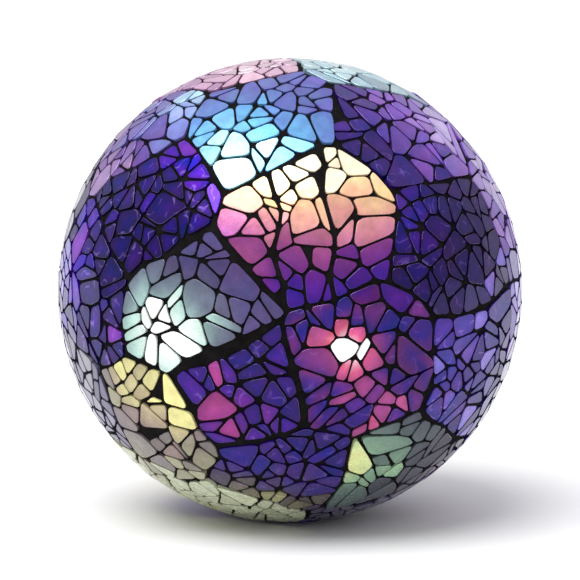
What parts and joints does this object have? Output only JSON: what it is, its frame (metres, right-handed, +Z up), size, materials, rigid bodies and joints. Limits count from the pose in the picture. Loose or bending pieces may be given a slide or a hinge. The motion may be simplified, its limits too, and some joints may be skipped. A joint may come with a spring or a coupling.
{
  "type": "decorative mosaic sphere",
  "caption": "Round ornament covered with sheets of crackled iridescent glass in black grout, standing on a small flat spot underneath.",
  "frame": {"origin": "centre of the flat spot that the ball stands on", "axes": "+Z up through the ball's centre, -Y towards the side that the picture shows, +X to the right of that view"},
  "size_m": [0.1003, 0.1006, 0.0995],
  "materials": {
    "grout": "matte, sanded cement grout, near black",
    "green_glass": "glossy, crackled, opaque film on the back",
    "ice_glass": "glossy, crackled, opaque film on the back",
    "indigo_glass": "glossy, crackled, opaque film on the back",
    "lavender_glass": "glossy, crackled, opaque film on the back",
    "magenta_glass": "glossy, crackled, opaque film on the back",
    "olive_glass": "glossy, crackled, opaque film on the back",
    "peach_glass": "glossy, crackled, opaque film on the back",
    "pearl_glass": "glossy, crackled, opaque film on the back",
    "periwinkle_glass": "glossy, crackled, opaque film on the back",
    "plum_glass": "glossy, crackled, opaque film on the back",
    "rose_glass": "glossy, crackled, opaque film on the back",
    "sky_glass": "glossy, crackled, opaque film on the back",
    "slate_glass": "glossy, crackled, opaque film on the back",
    "violet_glass": "glossy, crackled, opaque film on the back"
  },
  "bodies": {
    "root": {"grout_ball": "grout", "sky_glass_sheet_1": "sky_glass", "violet_glass_sheet_1": "violet_glass", "peach_glass_sheet_1": "peach_glass", "lavender_glass_sheet_1": "lavender_glass", "violet_glass_sheet_2": "violet_glass", "sky_glass_sheet_2": "sky_glass", "violet_glass_sheet_3": "violet_glass", "indigo_glass_sheet_1": "indigo_glass", "pearl_glass_sheet_1": "pearl_glass", "magenta_glass_sheet_1": "magenta_glass", "olive_glass_sheet_1": "olive_glass", "plum_glass_sheet_1": "plum_glass", "magenta_glass_sheet_2": "magenta_glass", "pearl_glass_sheet_2": "pearl_glass", "plum_glass_sheet_2": "plum_glass", "violet_glass_sheet_4": "violet_glass", "indigo_glass_sheet_2": "indigo_glass", "green_glass_sheet_1": "green_glass", "green_glass_sheet_2": "green_glass", "olive_glass_sheet_2": "olive_glass", "violet_glass_sheet_5": "violet_glass", "peach_glass_sheet_2": "peach_glass", "indigo_glass_sheet_3": "indigo_glass", "violet_glass_sheet_6": "violet_glass", "lavender_glass_sheet_2": "lavender_glass", "rose_glass_sheet_1": "rose_glass", "rose_glass_sheet_2": "rose_glass", "ice_glass_sheet_1": "ice_glass", "periwinkle_glass_sheet_1": "periwinkle_glass", "lavender_glass_sheet_3": "lavender_glass", "slate_glass_sheet_1": "slate_glass", "periwinkle_glass_sheet_2": "periwinkle_glass", "lavender_glass_sheet_4": "lavender_glass", "slate_glass_sheet_2": "slate_glass", "indigo_glass_sheet_4": "indigo_glass", "violet_glass_sheet_7": "violet_glass", "olive_glass_sheet_3": "olive_glass", "indigo_glass_sheet_5": "indigo_glass", "slate_glass_sheet_3": "slate_glass", "violet_glass_sheet_8": "violet_glass", "olive_glass_sheet_4": "olive_glass", "plum_glass_sheet_3": "plum_glass", "indigo_glass_sheet_6": "indigo_glass"}
  },
  "joints": []
}
